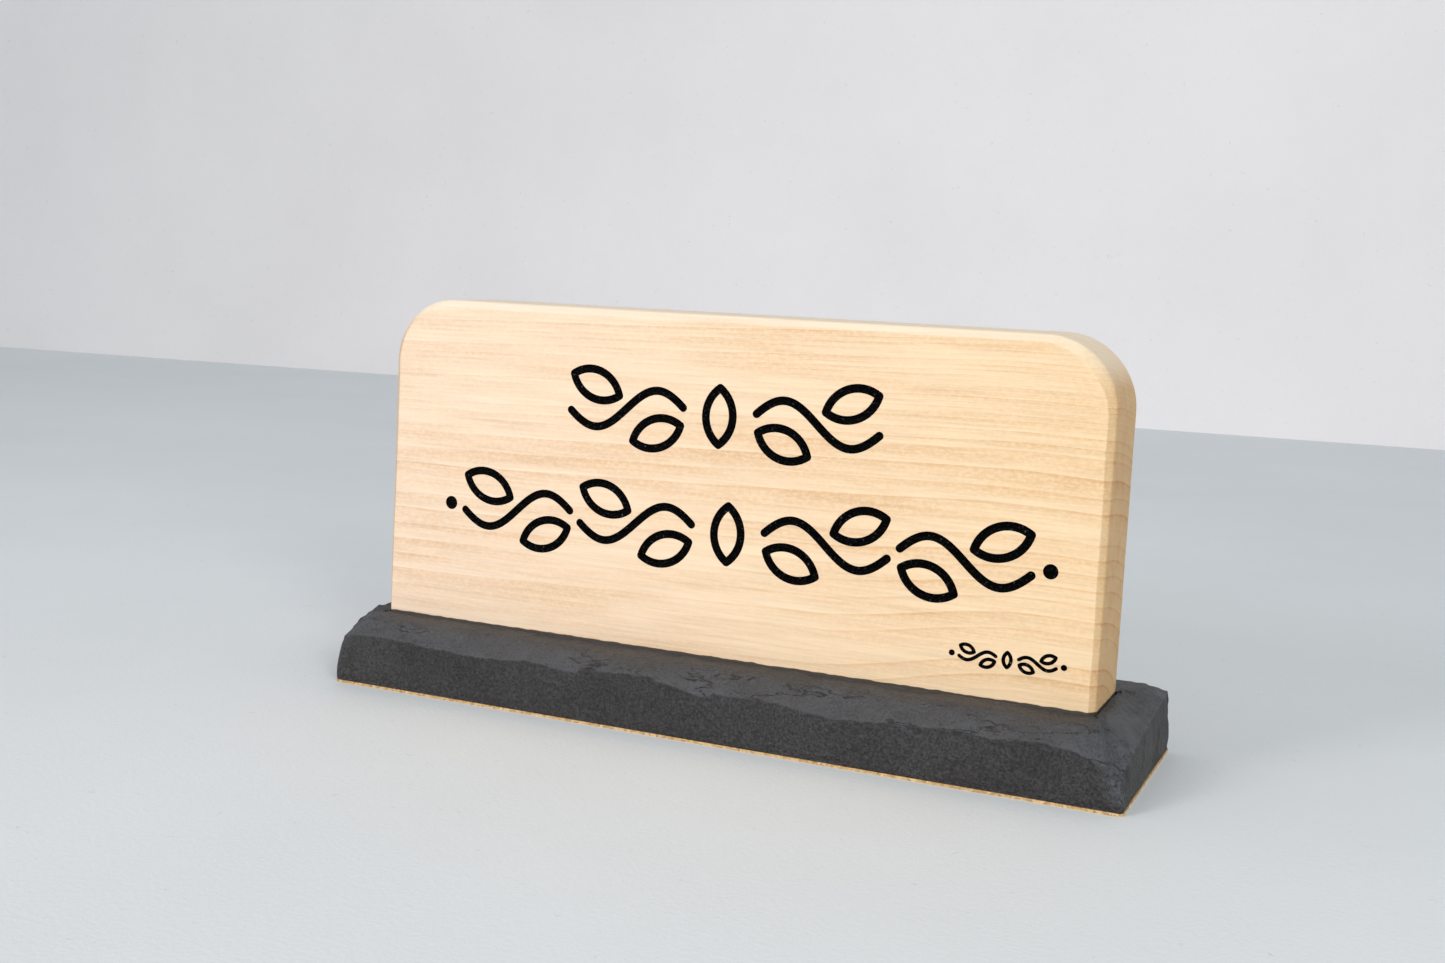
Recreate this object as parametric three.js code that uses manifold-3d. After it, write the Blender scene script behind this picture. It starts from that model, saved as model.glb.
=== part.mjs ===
// A timber desk plaque: an engraved board standing in the groove of a rough-cast base block.
// Millimetres. X runs along the board, Y from its front to its back, Z up. The origin is on the
// standing surface, under the middle of the base.
import * as THREE from "three";
import { mergeVertices } from "three/addons/utils/BufferGeometryUtils.js";
import Module from "manifold-3d";

const wasm = await Module();
wasm.setup();

// ---------------------------------------------------------------- driving dimensions
const OVERALL_HEIGHT = 160;
const CLEARANCE = 0.3; // between two pieces that touch

const BASE_LENGTH = 326;
const BASE_DEPTH = 92;
const BASE_TOP = 27;
const BASE_CORNER_RADIUS = 9; // in plan
const WALL_TOP = 20.5; // where the front, back and ends give way to the broken upper edge
const BROKEN_EDGE = 10; // how far the broken edge runs in from the wall
const FOOT_INSET = 1; // the walls draw in this much at their foot
const GROOVE_DEPTH = 7;
const OUTLINE_POINTS = 84; // round the block and its sole

const SOLE_THICKNESS = 1.2;
const SOLE_SHOW = 0.4; // the sole stands this far out past the foot of the block

const BOARD_LENGTH = 300;
const BOARD_THICKNESS = 40;
const BOARD_TOP_RADIUS = 27;
const BOARD_EDGE = 2.8; // eased edge all round
const BOARD_X = -3.6; // the board stands a little left of the base's middle, as made by hand
const BOARD_Y = -1.6;

const POCKET_DEPTH = 2.5;
const INLAY_RECESS = 0.4; // the fill shrinks below the face as it cures

const SCREW_OFFSET = 100; // of each screw from the middle of the board
const SCREW_LENGTH = 50;
const SCREW_SHANK_RADIUS = 2.3;
const SCREW_HEAD_RADIUS = 4.6;
const SCREW_HEAD_LIFT = 5; // of the head's flat above the standing surface

// The three rows of the engraving: a leaf scroll that grows out of a leaf in the middle.
const SCROLL_ROWS = [
  {
    name: "upper_row",
    x: 0, // from the middle of the board
    z: 121.5,
    stroke: 3.2,
    stems: 1, // on each side of the middle leaf
    stemLength: 54,
    stemRise: 8,
    middleGap: 26,
    leafLength: 25,
    leafWidth: 14.5,
    leafOffset: 8.6,
    berries: false,
  },
  {
    name: "lower_row",
    x: 5.5,
    z: 76.5,
    stroke: 3.2,
    stems: 2,
    stemLength: 54,
    stemRise: 8,
    middleGap: 26,
    leafLength: 25,
    leafWidth: 14.5,
    leafOffset: 8.6,
    berries: true,
  },
  {
    name: "small_row",
    x: 117.5,
    z: 42.7,
    stroke: 1.3,
    stems: 1,
    stemLength: 15.5,
    stemRise: 1.9,
    middleGap: 6.5,
    leafLength: 6.8,
    leafWidth: 4.1,
    leafOffset: 2.2,
    berries: true,
  },
];
const LEAF_TILT = 0.35; // radians, tips lifted away from the middle of the row

// ---------------------------------------------------------------- worked-out places
const BLOCK_FOOT = SOLE_THICKNESS + CLEARANCE;
const BOARD_FOOT = BASE_TOP - GROOVE_DEPTH;
const FACE_Y = BOARD_Y - BOARD_THICKNESS / 2;

// ---------------------------------------------------------------- materials
const finish = (color, roughness, metalness = 0) => () =>
  new THREE.MeshStandardMaterial({ color, roughness, metalness });
const paleWood = finish(0xf0d3a6, 0.6);
const anthraciteCoat = finish(0x4b4a4d, 0.9);
const corkSheet = finish(0xa98358, 0.95);
const blackResin = finish(0x0b0b0d, 0.15);
const zincSteel = finish(0xb9bcc0, 0.35, 1);

// ---------------------------------------------------------------- solids
// A closed geometry as a solid that can be joined and cut, in the given place.
function solidOf(geometry, matrix = new THREE.Matrix4()) {
  const bare = geometry.clone().applyMatrix4(matrix);
  bare.deleteAttribute("normal");
  bare.deleteAttribute("uv");
  const merged = mergeVertices(bare, 1e-4);
  const vertProperties = merged.attributes.position.array;
  const triVerts = new Uint32Array(merged.index.array);
  return new wasm.Manifold(new wasm.Mesh({ numProp: 3, vertProperties, triVerts }));
}

function geometryOf(solid) {
  const { vertProperties, triVerts } = solid.getMesh();
  const geometry = new THREE.BufferGeometry();
  geometry.setAttribute("position", new THREE.BufferAttribute(vertProperties, 3));
  geometry.setIndex(new THREE.BufferAttribute(triVerts, 1));
  geometry.computeVertexNormals();
  return geometry;
}

function piece(name, geometry, material) {
  const mesh = new THREE.Mesh(geometry, material());
  mesh.name = name;
  return mesh;
}

// ---------------------------------------------------------------- base block and sole
function planOutline(inset) {
  const halfX = BASE_LENGTH / 2 - inset;
  const halfY = BASE_DEPTH / 2 - inset;
  const r = BASE_CORNER_RADIUS;
  const quarter = Math.PI / 2;
  const plan = new THREE.Shape();
  plan.absarc(halfX - r, halfY - r, r, 0, quarter);
  plan.absarc(r - halfX, halfY - r, r, quarter, 2 * quarter);
  plan.absarc(r - halfX, r - halfY, r, 2 * quarter, 3 * quarter);
  plan.absarc(halfX - r, r - halfY, r, 3 * quarter, 4 * quarter);
  plan.closePath();
  return plan.getSpacedPoints(OUTLINE_POINTS).slice(0, OUTLINE_POINTS);
}

// An uneven value between -1 and 1 that runs smoothly once round the block.
function unevenness(turn, phase) {
  const angle = 2 * Math.PI * turn;
  return 0.5 * Math.sin(9 * angle + phase) + 0.3 * Math.sin(17 * angle + 2.1 * phase)
    + 0.2 * Math.sin(31 * angle + 3.7 * phase);
}

function blockRing({ inset, insetSpread = 0, z, zSpread = 0, phase = 0 }) {
  return planOutline(inset).map((point, i) => {
    const turn = i / OUTLINE_POINTS;
    const pull = 1 - (insetSpread * unevenness(turn, phase)) / (BASE_DEPTH / 2);
    const height = z + zSpread * unevenness(turn, phase + 1);
    return new THREE.Vector3(point.x, point.y * pull, height);
  });
}

// A closed solid through rings of equal count, listed from the bottom up.
function loft(rings) {
  const count = rings[0].length;
  const flat = rings[0].map((p) => new THREE.Vector2(p.x, p.y));
  const cap = THREE.ShapeUtils.triangulateShape(flat, []);
  const top = (rings.length - 1) * count;
  const index = [];
  for (const [a, b, c] of cap) {
    index.push(a, c, b, top + a, top + b, top + c);
  }
  for (let ring = 0; ring < rings.length - 1; ring += 1) {
    for (let i = 0; i < count; i += 1) {
      const low = ring * count + i;
      const lowNext = ring * count + ((i + 1) % count);
      index.push(low, lowNext, lowNext + count, low, lowNext + count, low + count);
    }
  }
  const geometry = new THREE.BufferGeometry().setFromPoints(rings.flat());
  geometry.setIndex(index);
  return geometry;
}

function baseBlock() {
  const rings = [
    { inset: FOOT_INSET, z: BLOCK_FOOT },
    { inset: 0, z: 6 },
    { inset: 1.2, insetSpread: 0.8, z: WALL_TOP, zSpread: 1.8, phase: 1 },
    { inset: BROKEN_EDGE / 2, insetSpread: 1, z: BASE_TOP - 2.2, zSpread: 0.8, phase: 3 },
    { inset: BROKEN_EDGE, insetSpread: 1.5, z: BASE_TOP, phase: 5 },
  ].map(blockRing);
  const groove = new THREE.BoxGeometry(
    BOARD_LENGTH + 2 * CLEARANCE,
    BOARD_THICKNESS + 2 * CLEARANCE,
    2 * (GROOVE_DEPTH + CLEARANCE),
  ).translate(BOARD_X, BOARD_Y, BASE_TOP);
  let block = solidOf(loft(rings)).subtract(solidOf(groove));
  for (const x of screwPlaces()) {
    block = block.subtract(solidOf(screwHole().translate(x, BOARD_Y, 0)));
  }
  return piece("base_block", geometryOf(block), anthraciteCoat);
}

function soleSheet() {
  const outline = new THREE.Shape(planOutline(FOOT_INSET - SOLE_SHOW));
  const sheet = new THREE.ExtrudeGeometry(outline, {
    depth: SOLE_THICKNESS,
    bevelEnabled: false,
  });
  return piece("sole_sheet", sheet, corkSheet);
}

// ---------------------------------------------------------------- screws
function screwPlaces() {
  return [BOARD_X - SCREW_OFFSET, BOARD_X + SCREW_OFFSET];
}

function turned(profile, sides = 20) {
  const points = profile.map(([radius, z]) => new THREE.Vector2(radius, z));
  return new THREE.LatheGeometry(points, sides).rotateX(Math.PI / 2);
}

// Clearance hole through the block, with a counterbore that the head sits in.
function screwHole() {
  const shank = SCREW_SHANK_RADIUS + CLEARANCE;
  const head = SCREW_HEAD_RADIUS + CLEARANCE;
  const coneFoot = SCREW_HEAD_LIFT;
  return turned([
    [0, 0],
    [head, 0],
    [head, coneFoot],
    [shank, coneFoot + head - shank],
    [shank, BASE_TOP],
    [0, BASE_TOP],
  ]);
}

// Pilot hole up into the board, a little longer than the screw reaches.
function pilotHole() {
  const radius = SCREW_SHANK_RADIUS + CLEARANCE;
  const top = SCREW_HEAD_LIFT + SCREW_LENGTH + CLEARANCE;
  return turned([
    [0, BOARD_FOOT - 1],
    [radius, BOARD_FOOT - 1],
    [radius, top - radius],
    [0, top],
  ]);
}

// Countersunk wood screw, point up, with a cross recess in its head.
function boardScrew(name, x) {
  const coneTop = SCREW_HEAD_LIFT + SCREW_HEAD_RADIUS - SCREW_SHANK_RADIUS;
  const tip = SCREW_HEAD_LIFT + SCREW_LENGTH - 1;
  let screw = solidOf(turned([
    [0, SCREW_HEAD_LIFT],
    [SCREW_HEAD_RADIUS, SCREW_HEAD_LIFT],
    [SCREW_SHANK_RADIUS, coneTop],
    [SCREW_SHANK_RADIUS, tip - 4],
    [0, tip],
  ]));
  const slot = new THREE.BoxGeometry(5, 1.1, 4).translate(0, 0, SCREW_HEAD_LIFT);
  screw = screw.subtract(solidOf(slot)).subtract(solidOf(slot.rotateZ(Math.PI / 2)));
  const mesh = piece(name, geometryOf(screw), zincSteel);
  mesh.position.set(x, BOARD_Y, 0);
  return mesh;
}

// ---------------------------------------------------------------- engraving outlines
// All are drawn in the plane of the face, X to the right and Y up, for a round cutter.

// The ring that a cutter leaves on going once round an almond leaf that lies along X. The
// leaf's length and width are to the outside of the stroke.
function leafOutline(length, width, halfStroke) {
  const tip = length / 2 - halfStroke;
  const side = width / 2 - halfStroke;
  const drop = (tip * tip - side * side) / (2 * side); // of each arc's centre from the axis
  const radius = side + drop;
  const lean = Math.atan2(drop, tip);
  const outline = new THREE.Shape();
  outline.absarc(0, -drop, radius + halfStroke, lean, Math.PI - lean);
  outline.absarc(-tip, 0, halfStroke, Math.PI - lean, Math.PI + lean);
  outline.absarc(0, drop, radius + halfStroke, Math.PI + lean, 2 * Math.PI - lean);
  outline.absarc(tip, 0, halfStroke, -lean, lean);
  const inner = radius - halfStroke;
  const innerTip = Math.sqrt(inner * inner - drop * drop);
  const innerLean = Math.atan2(drop, innerTip);
  const wood = new THREE.Path();
  wood.absarc(0, -drop, inner, innerLean, Math.PI - innerLean);
  wood.absarc(0, drop, inner, Math.PI + innerLean, 2 * Math.PI - innerLean);
  outline.holes.push(wood);
  return outline;
}

// One full wave of stem along X within its length, with round ends. The cutter starts and stops
// at the given distance from each end.
function stemOutline(length, rise, end, halfStroke) {
  const steps = 12;
  const capSteps = 3;
  const wave = (x) => rise * Math.sin((2 * Math.PI * x) / length);
  const slope = (x) => Math.atan((2 * Math.PI * rise * Math.cos((2 * Math.PI * x) / length)) / length);
  const beside = (x, turn) => {
    const angle = slope(x) + turn;
    return new THREE.Vector2(
      x + halfStroke * Math.cos(angle),
      wave(x) + halfStroke * Math.sin(angle),
    );
  };
  const places = Array.from({ length: steps + 1 }, (_, i) => end + ((length - 2 * end) * i) / steps);
  const capTurns = Array.from({ length: capSteps - 1 }, (_, i) => (Math.PI * (i + 1)) / capSteps);
  return new THREE.Shape([
    ...places.map((x) => beside(x, -Math.PI / 2)),
    ...capTurns.map((turn) => beside(length - end, turn - Math.PI / 2)),
    ...places.toReversed().map((x) => beside(x, Math.PI / 2)),
    ...capTurns.map((turn) => beside(end, turn + Math.PI / 2)),
  ]);
}

function berryOutline(radius) {
  const outline = new THREE.Shape();
  outline.absarc(0, 0, radius, 0, Math.PI);
  outline.absarc(0, 0, radius, Math.PI, 2 * Math.PI);
  return outline;
}

// Every stroke of one row: its name, its outline for a given growth of the cutter, and its
// place and turn in the row. The row is mirrored about the leaf in its middle.
function rowStrokes(row) {
  const strokes = [];
  const add = (kind, number, outline, x, y, turn) =>
    strokes.push({ name: `${row.name}_${kind}_${number}`, outline, x, y, turn });
  const half = (growth) => row.stroke / 2 + growth;
  const leaf = (growth) =>
    leafOutline(row.leafLength + 2 * growth, row.leafWidth + 2 * growth, half(growth));
  let leaves = 1;
  let stems = 1;
  add("leaf", leaves, leaf, 0, 0, Math.PI / 2);
  for (const side of [-1, 1]) {
    for (let i = 0; i < row.stems; i += 1) {
      const start = row.middleGap / 2 + i * row.stemLength;
      const rise = side * row.stemRise;
      const stem = (growth) => stemOutline(row.stemLength, rise, 0.75 * row.stroke, half(growth));
      const left = side < 0 ? -start - row.stemLength : start;
      add("stem", stems, stem, left, 0, 0);
      stems += 1;
      for (const [along, above] of [[0.25, -1], [0.75, 1]]) {
        leaves += 1;
        const x = side * (start + along * row.stemLength);
        add("leaf", leaves, leaf, x, above * row.leafOffset, side * above * LEAF_TILT);
      }
    }
    if (row.berries) {
      const reach = row.middleGap / 2 + row.stems * row.stemLength + 1.4 * row.stroke;
      const berry = (growth) => berryOutline(row.stroke * 0.85 + growth);
      add("berry", side < 0 ? 1 : 2, berry, side * reach, 0, 0);
    }
  }
  return strokes;
}

const allStrokes = () =>
  SCROLL_ROWS.flatMap((row) =>
    rowStrokes(row).map((stroke) => ({ ...stroke, x: stroke.x + row.x, y: stroke.y + row.z })));

// A stroke as a flat-bottomed body between two depths below the face, before it is placed.
function strokeBody(stroke, growth, bottom, top) {
  const body = new THREE.ExtrudeGeometry(stroke.outline(growth), {
    depth: bottom - top,
    bevelEnabled: false,
    curveSegments: 3,
  });
  return body.translate(0, 0, -bottom).rotateZ(stroke.turn).translate(stroke.x, stroke.y, 0);
}

// The face's own frame: X along the board from its middle, Y up from the floor, Z outwards.
function onFace(object) {
  object.position.set(BOARD_X, FACE_Y, 0);
  object.rotation.set(Math.PI / 2, 0, 0);
  object.updateMatrix();
  return object;
}

// ---------------------------------------------------------------- board and inlays
function boardBlank() {
  const halfX = BOARD_LENGTH / 2;
  const r = BOARD_TOP_RADIUS;
  const outline = new THREE.Shape();
  outline.moveTo(-halfX, BOARD_FOOT);
  outline.lineTo(halfX, BOARD_FOOT);
  outline.absarc(halfX - r, OVERALL_HEIGHT - r, r, 0, Math.PI / 2);
  outline.absarc(r - halfX, OVERALL_HEIGHT - r, r, Math.PI / 2, Math.PI);
  return new THREE.ExtrudeGeometry(outline, {
    depth: BOARD_THICKNESS - 2 * BOARD_EDGE,
    bevelThickness: BOARD_EDGE,
    bevelSize: BOARD_EDGE,
    bevelOffset: -BOARD_EDGE,
    bevelSegments: 2,
    curveSegments: 5,
  }).translate(0, 0, BOARD_EDGE - BOARD_THICKNESS);
}

function board() {
  const face = onFace(new THREE.Group()).matrix;
  let timber = solidOf(boardBlank(), face);
  for (const stroke of allStrokes()) {
    timber = timber.subtract(solidOf(strokeBody(stroke, CLEARANCE, POCKET_DEPTH, -1), face));
  }
  for (const x of screwPlaces()) {
    timber = timber.subtract(solidOf(pilotHole().translate(x, BOARD_Y, 0)));
  }
  return piece("board", geometryOf(timber), paleWood);
}

function inlays() {
  const bottom = POCKET_DEPTH - CLEARANCE;
  const group = onFace(new THREE.Group());
  for (const stroke of allStrokes()) {
    group.add(piece(stroke.name, strokeBody(stroke, 0, bottom, INLAY_RECESS), blackResin));
  }
  return group;
}

// ---------------------------------------------------------------- the plaque
const plaque = new THREE.Group();
const [leftScrew, rightScrew] = screwPlaces();
plaque.add(
  baseBlock(),
  soleSheet(),
  boardScrew("board_screw_left", leftScrew),
  boardScrew("board_screw_right", rightScrew),
  board(),
  inlays(),
);

export default plaque;
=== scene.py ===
import math
import random

import bmesh
import bpy
from mathutils import Matrix, Vector, noise


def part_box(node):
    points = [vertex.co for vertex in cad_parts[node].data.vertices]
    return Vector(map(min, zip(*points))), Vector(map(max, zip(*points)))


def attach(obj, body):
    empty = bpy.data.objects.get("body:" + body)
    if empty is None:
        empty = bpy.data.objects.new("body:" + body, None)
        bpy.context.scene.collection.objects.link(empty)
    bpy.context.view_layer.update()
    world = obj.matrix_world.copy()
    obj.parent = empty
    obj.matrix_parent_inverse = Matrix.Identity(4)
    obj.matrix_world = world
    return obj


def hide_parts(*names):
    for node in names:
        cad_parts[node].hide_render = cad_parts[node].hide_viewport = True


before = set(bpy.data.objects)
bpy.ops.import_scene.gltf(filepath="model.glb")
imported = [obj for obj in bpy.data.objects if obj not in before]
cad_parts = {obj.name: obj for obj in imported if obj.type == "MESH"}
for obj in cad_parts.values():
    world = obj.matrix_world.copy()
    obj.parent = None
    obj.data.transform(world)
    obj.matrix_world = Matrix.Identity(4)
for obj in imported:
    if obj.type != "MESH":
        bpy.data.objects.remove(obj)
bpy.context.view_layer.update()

MM = 0.001

# ------------------------------------------------------------------------------------ camera
# The view is from in front of the plaque and to its right, with the eye just above the top of
# the board, looking slightly down, and with the camera held a little off level.
EYE = Vector((255.4, -595.2, 178.5)) * MM
TURN_LEFT = 0.4204
LOOK_DOWN = 0.1294
OFF_LEVEL = 0.0438
SENSOR_WIDTH = 36
LENS = 41.2

camera_data = bpy.data.cameras.new("camera")
camera_data.sensor_width = SENSOR_WIDTH
camera_data.lens = LENS
camera = bpy.data.objects.new("camera", camera_data)
camera.matrix_world = (
    Matrix.Translation(EYE)
    @ Matrix.Rotation(TURN_LEFT, 4, "Z")
    @ Matrix.Rotation(math.pi / 2 - LOOK_DOWN, 4, "X")
    @ Matrix.Rotation(OFF_LEVEL, 4, "Z")
)
bpy.context.scene.collection.objects.link(camera)
bpy.context.scene.camera = camera

# ------------------------------------------------------------------------------------ studio
# A pale painted table top with a pale plaster wall far behind it. Two soft boxes stand low in
# front, a neutral one to the right and a pinker one to the left, under an even, pale sky.


def link_mesh(name, bm, sharp_degrees=None):
    """The bmesh as a finished object, smooth but for edges sharper than so many degrees."""
    bmesh.ops.recalc_face_normals(bm, faces=bm.faces)
    mesh = bpy.data.meshes.new(name)
    bm.to_mesh(mesh)
    bm.free()
    if sharp_degrees is not None:
        mesh.shade_smooth()
        mesh.set_sharp_from_angle(angle=math.radians(sharp_degrees))
    piece = bpy.data.objects.new(name, mesh)
    bpy.context.scene.collection.objects.link(piece)
    return piece


def new_material(name):
    """A material, its shader, a function that adds nodes to it, and its coordinates."""
    material = bpy.data.materials.new(name)
    material.use_nodes = True
    tree = material.node_tree

    def add(kind, inputs=None, **settings):
        node = tree.nodes.new("ShaderNode" + kind)
        for key, value in settings.items():
            setattr(node, key, value)
        for key, value in (inputs or {}).items():
            if isinstance(key, str):
                socket = next(s for s in node.inputs if s.enabled and s.name == key)
            else:
                socket = node.inputs[key]
            if isinstance(value, bpy.types.NodeSocket):
                tree.links.new(value, socket)
            else:
                socket.default_value = value
        return next(s for s in node.outputs if s.enabled)

    shader = tree.nodes["Principled BSDF"]
    return material, shader, add, tree.nodes.new("ShaderNodeTexCoord").outputs


def join(shader, **sockets):
    """Connects node outputs to the shader's sockets."""
    for name, output in sockets.items():
        shader.id_data.links.new(output, shader.inputs[name.replace("_", " ")])


def ramp(add, factor, stops, interpolation="LINEAR"):
    """A colour ramp through (position, grey or colour) stops."""
    output = add("ValToRGB", {"Fac": factor})
    steps = output.node.color_ramp
    steps.interpolation = interpolation
    while len(steps.elements) < len(stops):
        steps.elements.new(0.5)
    for element, (position, shade) in zip(steps.elements, stops):
        element.position = position
        element.color = (*shade, 1) if isinstance(shade, tuple) else (shade, shade, shade, 1)
    return output


def grain(add, place, scale, detail=3.0, roughness=0.5, squash=(1, 1, 1)):
    """Noise with so many lumps per metre, squashed along each axis by the given factors."""
    stretched = add("Mapping", {"Vector": place, "Scale": squash})
    return add("TexNoise", {
        "Vector": stretched, "Scale": scale, "Detail": detail, "Roughness": roughness,
    })


def mix(add, factor, low, high, blend="MIX"):
    """Two colours mixed by a factor."""
    low, high = ((*c, 1) if isinstance(c, tuple) else c for c in (low, high))
    inputs = {"Factor": factor, "A": low, "B": high}
    return add("Mix", inputs, data_type="RGBA", blend_type=blend)


def tint(add, colour, by, factor=1.0):
    """A colour multiplied by another."""
    return mix(add, factor, colour, by, "MULTIPLY")


def calc(add, operation, first, second=0.0, clamp=False):
    """One piece of arithmetic on one or two values."""
    return add("Math", {0: first, 1: second}, operation=operation, use_clamp=clamp)


def bump(add, height, distance, strength=1.0, under=None):
    """A bump so many metres tall at full height, laid over another normal."""
    inputs = {"Height": height, "Distance": distance, "Strength": strength}
    if under is not None:
        inputs["Normal"] = under
    return add("Bump", inputs)


def pale_surface(name, colour, fleck):
    """Painted plaster: a soft cloudy colour with faint specks and a fine tooth."""
    material, shader, add, coordinates = new_material(name)
    place = coordinates["Object"]
    clouds = grain(add, place, 2.5, detail=6.0, roughness=0.62)
    low = tuple(c * (1 - fleck) for c in colour)
    shade = ramp(add, clouds, [(0.35, low), (0.65, colour)])
    specks = grain(add, place, 160.0, detail=3.0, roughness=0.7)
    pits = ramp(add, specks, [(0.27, 1.0), (0.33, 0.0)])
    shade = mix(add, calc(add, "MULTIPLY", pits, 0.35), shade, tuple(c * 0.6 for c in colour))
    tooth = grain(add, place, 500.0, detail=4.0)
    join(shader, Base_Color=shade, Normal=bump(add, tooth, 0.0003, 0.5))
    shader.inputs["Roughness"].default_value = 0.65
    shader.inputs["Specular IOR Level"].default_value = 0.3
    return material


FLOOR_HALF = 6.0  # metres
WALL_HEIGHT = 3.5
WALL_RIGHT = Vector((0.232, 1.53, 0.0))
WALL_LEFT = Vector((-1.89, 1.35, 0.0))
FLOOR_COLOUR = (0.72, 0.755, 0.785)
WALL_COLOUR = (0.93, 0.905, 0.915)
PAINT_FLECK = 0.05

bm = bmesh.new()
bmesh.ops.create_grid(bm, x_segments=1, y_segments=1, size=FLOOR_HALF)
floor = link_mesh("floor", bm)
floor.data.materials.append(pale_surface("floor_paint", FLOOR_COLOUR, PAINT_FLECK))

along = (WALL_RIGHT - WALL_LEFT).normalized() * FLOOR_HALF
bm = bmesh.new()
foot = [bm.verts.new(WALL_RIGHT + along), bm.verts.new(WALL_LEFT - along)]
bm.edges.new(foot)
risen = bmesh.ops.extrude_edge_only(bm, edges=bm.edges[:])["geom"]
wall_top = [part for part in risen if isinstance(part, bmesh.types.BMVert)]
bmesh.ops.translate(bm, verts=wall_top, vec=(0, 0, WALL_HEIGHT))
wall = link_mesh("wall", bm)
wall.data.materials.append(pale_surface("wall_paint", WALL_COLOUR, PAINT_FLECK))


BOX_ELEVATION = 20  # degrees above the floor
BOX_DISTANCE = 2.1
BOX_HEIGHT = 0.95
BOX_SPREAD = math.radians(110)
SKY_COLOUR = (0.95, 0.99, 1.0, 1)
SKY_STRENGTH = 0.66


def soft_box(name, azimuth, width, power, colour):
    """A tall area light so many degrees to the right of the front."""
    light = bpy.data.lights.new(name, "AREA")
    light.shape = "RECTANGLE"
    light.size = width
    light.size_y = BOX_HEIGHT
    light.energy = power
    light.color = colour
    light.spread = BOX_SPREAD
    lamp = bpy.data.objects.new(name, light)
    lamp.matrix_world = (
        Matrix.Rotation(math.radians(azimuth), 4, "Z")
        @ Matrix.Rotation(math.radians(90 - BOX_ELEVATION), 4, "X")
        @ Matrix.Translation((0, 0, BOX_DISTANCE))
    )
    bpy.context.scene.collection.objects.link(lamp)


soft_box("right_box", 45, 0.55, 6.7, (1.0, 0.98, 0.91))
soft_box("left_box", -31, 0.6, 7.1, (1.0, 0.93, 0.94))

world = bpy.data.worlds.new("sky")
world.use_nodes = True
world.node_tree.nodes["Background"].inputs["Color"].default_value = SKY_COLOUR
world.node_tree.nodes["Background"].inputs["Strength"].default_value = SKY_STRENGTH
bpy.context.scene.world = world
bpy.context.scene.view_settings.view_transform = "Standard"

# ------------------------------------------------------------------------------------ base block
# The base is a long cast mineral block with a trowelled matt anthracite coat. Its upper edges
# were knocked off unevenly before the coat went on, and a groove along its top holds the board.

PITCH = 0.85 * MM  # between mesh points
TINY = 0.01 * MM
FOOT_INSET = 0.5 * MM
FOOT_CORNER = 1.6 * MM
FOOT_HEIGHT = 1.0 * MM
GROOVE_GAP = 0.5 * MM
WALL_RINGS = 24
BREAK_RINGS = 14
TOP_RINGS = 12
BROKEN_RUN = 11 * MM  # how far the broken edge reaches back
LEAN = 1.4 * MM  # of the wall, at its top
LEFT_LEAN = 2.0 * MM
CORNER_REACH = 13 * MM
CORNER_CUT = 2.2 * MM
CORNER_DROP = 0.5 * MM
FRONT_RIGHT_CUT = 1.8 * MM
LEAST_FLAT = 1.5 * MM  # left level between the broken edge and the groove
CHIP_SEED = 7

board_low, board_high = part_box("board")
_, block_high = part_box("base_block")
half_x, half_y = block_high.x, block_high.y
block_top = block_high.z
groove_floor = board_low.z - 0.2 * MM

# How high the wall stands where each chip ends, in millimetres, as (distance round the outline,
# height above the floor): from the front left corner to the right and along the right end. The left
# end, which comes last, is hardly broken, and its rim stands a little above the level top.
CHIPS = [
    (0, 19.0), (6, 21.0), (19, 21.7), (68, 19.2), (91, 21.3), (113, 19.6), (117, 21.4),
    (143, 22.9), (167, 18.0), (172, 19.6), (191, 20.5), (219, 17.8), (238, 19.0), (266, 21.0),
    (278, 19.8), (296, 21.4), (310, 19.6), (319, 16.0), (326, 11.5), (336, 15.0), (350, 18.0),
    (368, 19.8), (385, 21.6), (408, 23.5), (418, 24.5), (450, 25.2),
]
LEFT_END_CHIPS = [(742, 24.6), (760, 26.5), (786, 28.2), (808, 28.0), (817, 26.3), (827, 22.0)]


def wall_stations():
    """The listed chips, with seeded ones between them along the back."""
    draw = random.Random(CHIP_SEED)
    stations = [(place * MM, height * MM) for place, height in CHIPS]
    left_end = [(place * MM, height * MM) for place, height in LEFT_END_CHIPS]
    place = stations[-1][0] + 9 * MM
    rising = True
    while place < left_end[0][0] - 8 * MM:
        height = draw.uniform(20.5, 22.8) if rising else draw.uniform(17.6, 19.8)
        stations.append((place, height * MM))
        place += (draw.uniform(18, 42) if rising else draw.uniform(4, 16)) * MM
        rising = not rising
    return stations + left_end + [(4 * (half_x + half_y), stations[0][1])]


stations = wall_stations()


def wall_height(place):
    """The height at which the wall breaks off at a place along the outline."""
    for (start, low), (end, high) in zip(stations, stations[1:]):
        if place <= end:
            return low + (high - low) * min(max((place - start) / (end - start), 0), 1)
    return stations[-1][1]


def outline_place(point):
    """How far round the outline a point is, anticlockwise from the front left corner."""
    sides = [
        (half_y + point.y, half_x + point.x),
        (half_x - point.x, 2 * half_x + half_y + point.y),
        (half_y - point.y, 3 * half_x + 2 * half_y - point.x),
        (half_x + point.x, 4 * half_x + 3 * half_y - point.y),
    ]
    return min(sides)[1]


def rough(point, size, seed):
    """Smooth noise between about -1 and 1, with lumps of the given size."""
    return noise.noise(point / size + Vector((seed, 3.1 * seed, 7.7 * seed)))


def smooth_step(value):
    """An easing from 0 to 1."""
    value = min(max(value, 0), 1)
    return value * value * (3 - 2 * value)


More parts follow.
